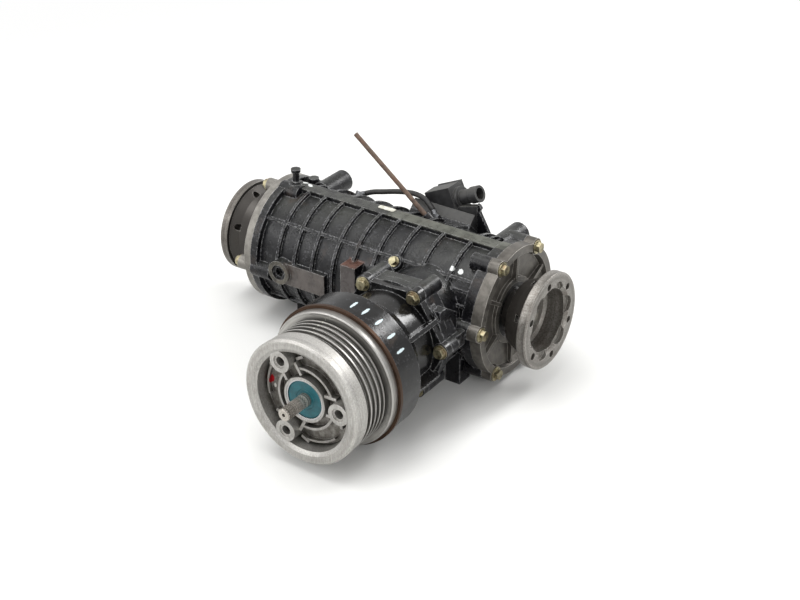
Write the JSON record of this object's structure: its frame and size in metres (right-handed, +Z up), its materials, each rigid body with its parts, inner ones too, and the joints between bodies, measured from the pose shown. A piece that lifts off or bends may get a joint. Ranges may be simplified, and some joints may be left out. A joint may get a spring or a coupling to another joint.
{
  "type": "rear final drive",
  "caption": "Rear axle final drive: ribbed cast housing with two flanged output shafts, a finned viscous coupling on its input and a sliding differential lock.",
  "frame": {"origin": "centre of the right drive flange's bolt circle, on its mounting face", "axes": "+X along the output shafts, out of the right drive flange; -Y along the pinion and coupling, towards the input; +Z up"},
  "size_m": [0.404, 0.3794, 0.2212],
  "materials": {
    "black_casting": "satin",
    "machined_aluminium": "satin",
    "grey_cover": "satin",
    "flange_steel": "satin",
    "yellow_zinc": "satin",
    "bearing_steel": "polished",
    "gear_steel": "satin",
    "shaft_steel": "satin",
    "cast_iron_case": "rough",
    "seal_rubber": "matt",
    "teal_plastic": "satin",
    "black_plastic": "satin",
    "dull_plug": "satin",
    "brown_pipe": "satin",
    "hose_rubber": "matt",
    "brass_pins": "satin",
    "bronze": "satin",
    "copper_lip": "satin"
  },
  "bodies": {
    "housing": {"main_housing": "black_casting", "right_cover": "grey_cover", "left_cover": "machined_aluminium", "right_cover_bolts": "yellow_zinc", "left_cover_bolts": "yellow_zinc", "right_shaft_seal": "seal_rubber", "left_shaft_seal": "seal_rubber", "nose_housing": "black_casting", "nose_bolts": "yellow_zinc", "pinion_head_bearing": "bearing_steel", "pinion_tail_bearing": "bearing_steel", "pinion_seal": "seal_rubber", "right_carrier_bearing": "bearing_steel", "left_carrier_bearing": "bearing_steel", "left_shaft_bearing": "bearing_steel", "fill_plug": "dull_plug", "drain_plug": "dull_plug", "breather_cap": "dull_plug", "vent_pipe": "brown_pipe", "vacuum_hose": "hose_rubber", "hose_nipples": "shaft_steel", "lock_actuator": "black_plastic", "connector_pins": "brass_pins", "actuator_bracket": "black_casting", "actuator_screws": "yellow_zinc", "clip_bolt": "yellow_zinc", "drum_bearing": "bearing_steel"},
    "carrier": {"differential_case": "cast_iron_case", "ring_gear": "gear_steel", "ring_gear_bolts": "gear_steel", "cross_pin": "shaft_steel", "spider_gears": "gear_steel", "side_gear_washers": "bronze"},
    "left_output": {"left_side_gear": "gear_steel", "left_shaft": "shaft_steel", "left_flange": "flange_steel", "left_flange_bolt": "yellow_zinc"},
    "right_output": {"right_side_gear": "gear_steel", "right_shaft": "shaft_steel", "right_flange": "flange_steel", "right_flange_bolt": "yellow_zinc"},
    "pinion": {"drive_pinion": "gear_steel", "pinion_nut": "gear_steel", "coupling_hub": "gear_steel", "inner_plates": "bearing_steel", "centre_spigot": "shaft_steel"},
    "coupling": {"coupling_drum": "machined_aluminium", "drum_front_cover": "machined_aluminium", "outer_plates": "bearing_steel", "seal_cap": "teal_plastic", "seal_ring": "bearing_steel", "dust_ring": "copper_lip"},
    "lock_slider": {"lock_rod": "shaft_steel", "lock_fork": "bronze"},
    "lock_collar": {"lock_sleeve": "gear_steel"}
  },
  "joints": [
    {"name": "carrier_spin", "type": "hinge", "parent": "housing", "child": "carrier", "pos_m": [-0.12, 0, 0], "axis": [1, 0, 0], "continuous": true},
    {"name": "pinion_spin", "type": "hinge", "parent": "housing", "child": "pinion", "pos_m": [-0.12, 0, 0], "axis": [0, 1, 0], "continuous": true},
    {"name": "left_output_spin", "type": "hinge", "parent": "housing", "child": "left_output", "pos_m": [-0.12, 0, 0], "axis": [1, 0, 0], "continuous": true},
    {"name": "right_output_spin", "type": "hinge", "parent": "housing", "child": "right_output", "pos_m": [-0.12, 0, 0], "axis": [1, 0, 0], "continuous": true},
    {"name": "coupling_spin", "type": "hinge", "parent": "housing", "child": "coupling", "pos_m": [-0.12, 0, 0], "axis": [0, 1, 0], "continuous": true},
    {"name": "lock_rod_slide", "type": "slide", "parent": "housing", "child": "lock_slider", "axis": [1, 0, 0], "range_m": [0, 0.005]},
    {"name": "lock_sleeve_slide", "type": "slide", "parent": "left_output", "child": "lock_collar", "axis": [1, 0, 0], "range_m": [0, 0.005]}
  ],
  "couplings": [
    {"joint": "pinion_spin", "follows": "carrier_spin", "ratio": 3.6364},
    {"joint": "left_output_spin", "follows": "carrier_spin", "ratio": 1},
    {"joint": "right_output_spin", "follows": "carrier_spin", "ratio": 1},
    {"joint": "lock_sleeve_slide", "follows": "lock_rod_slide", "ratio": 1}
  ]
}
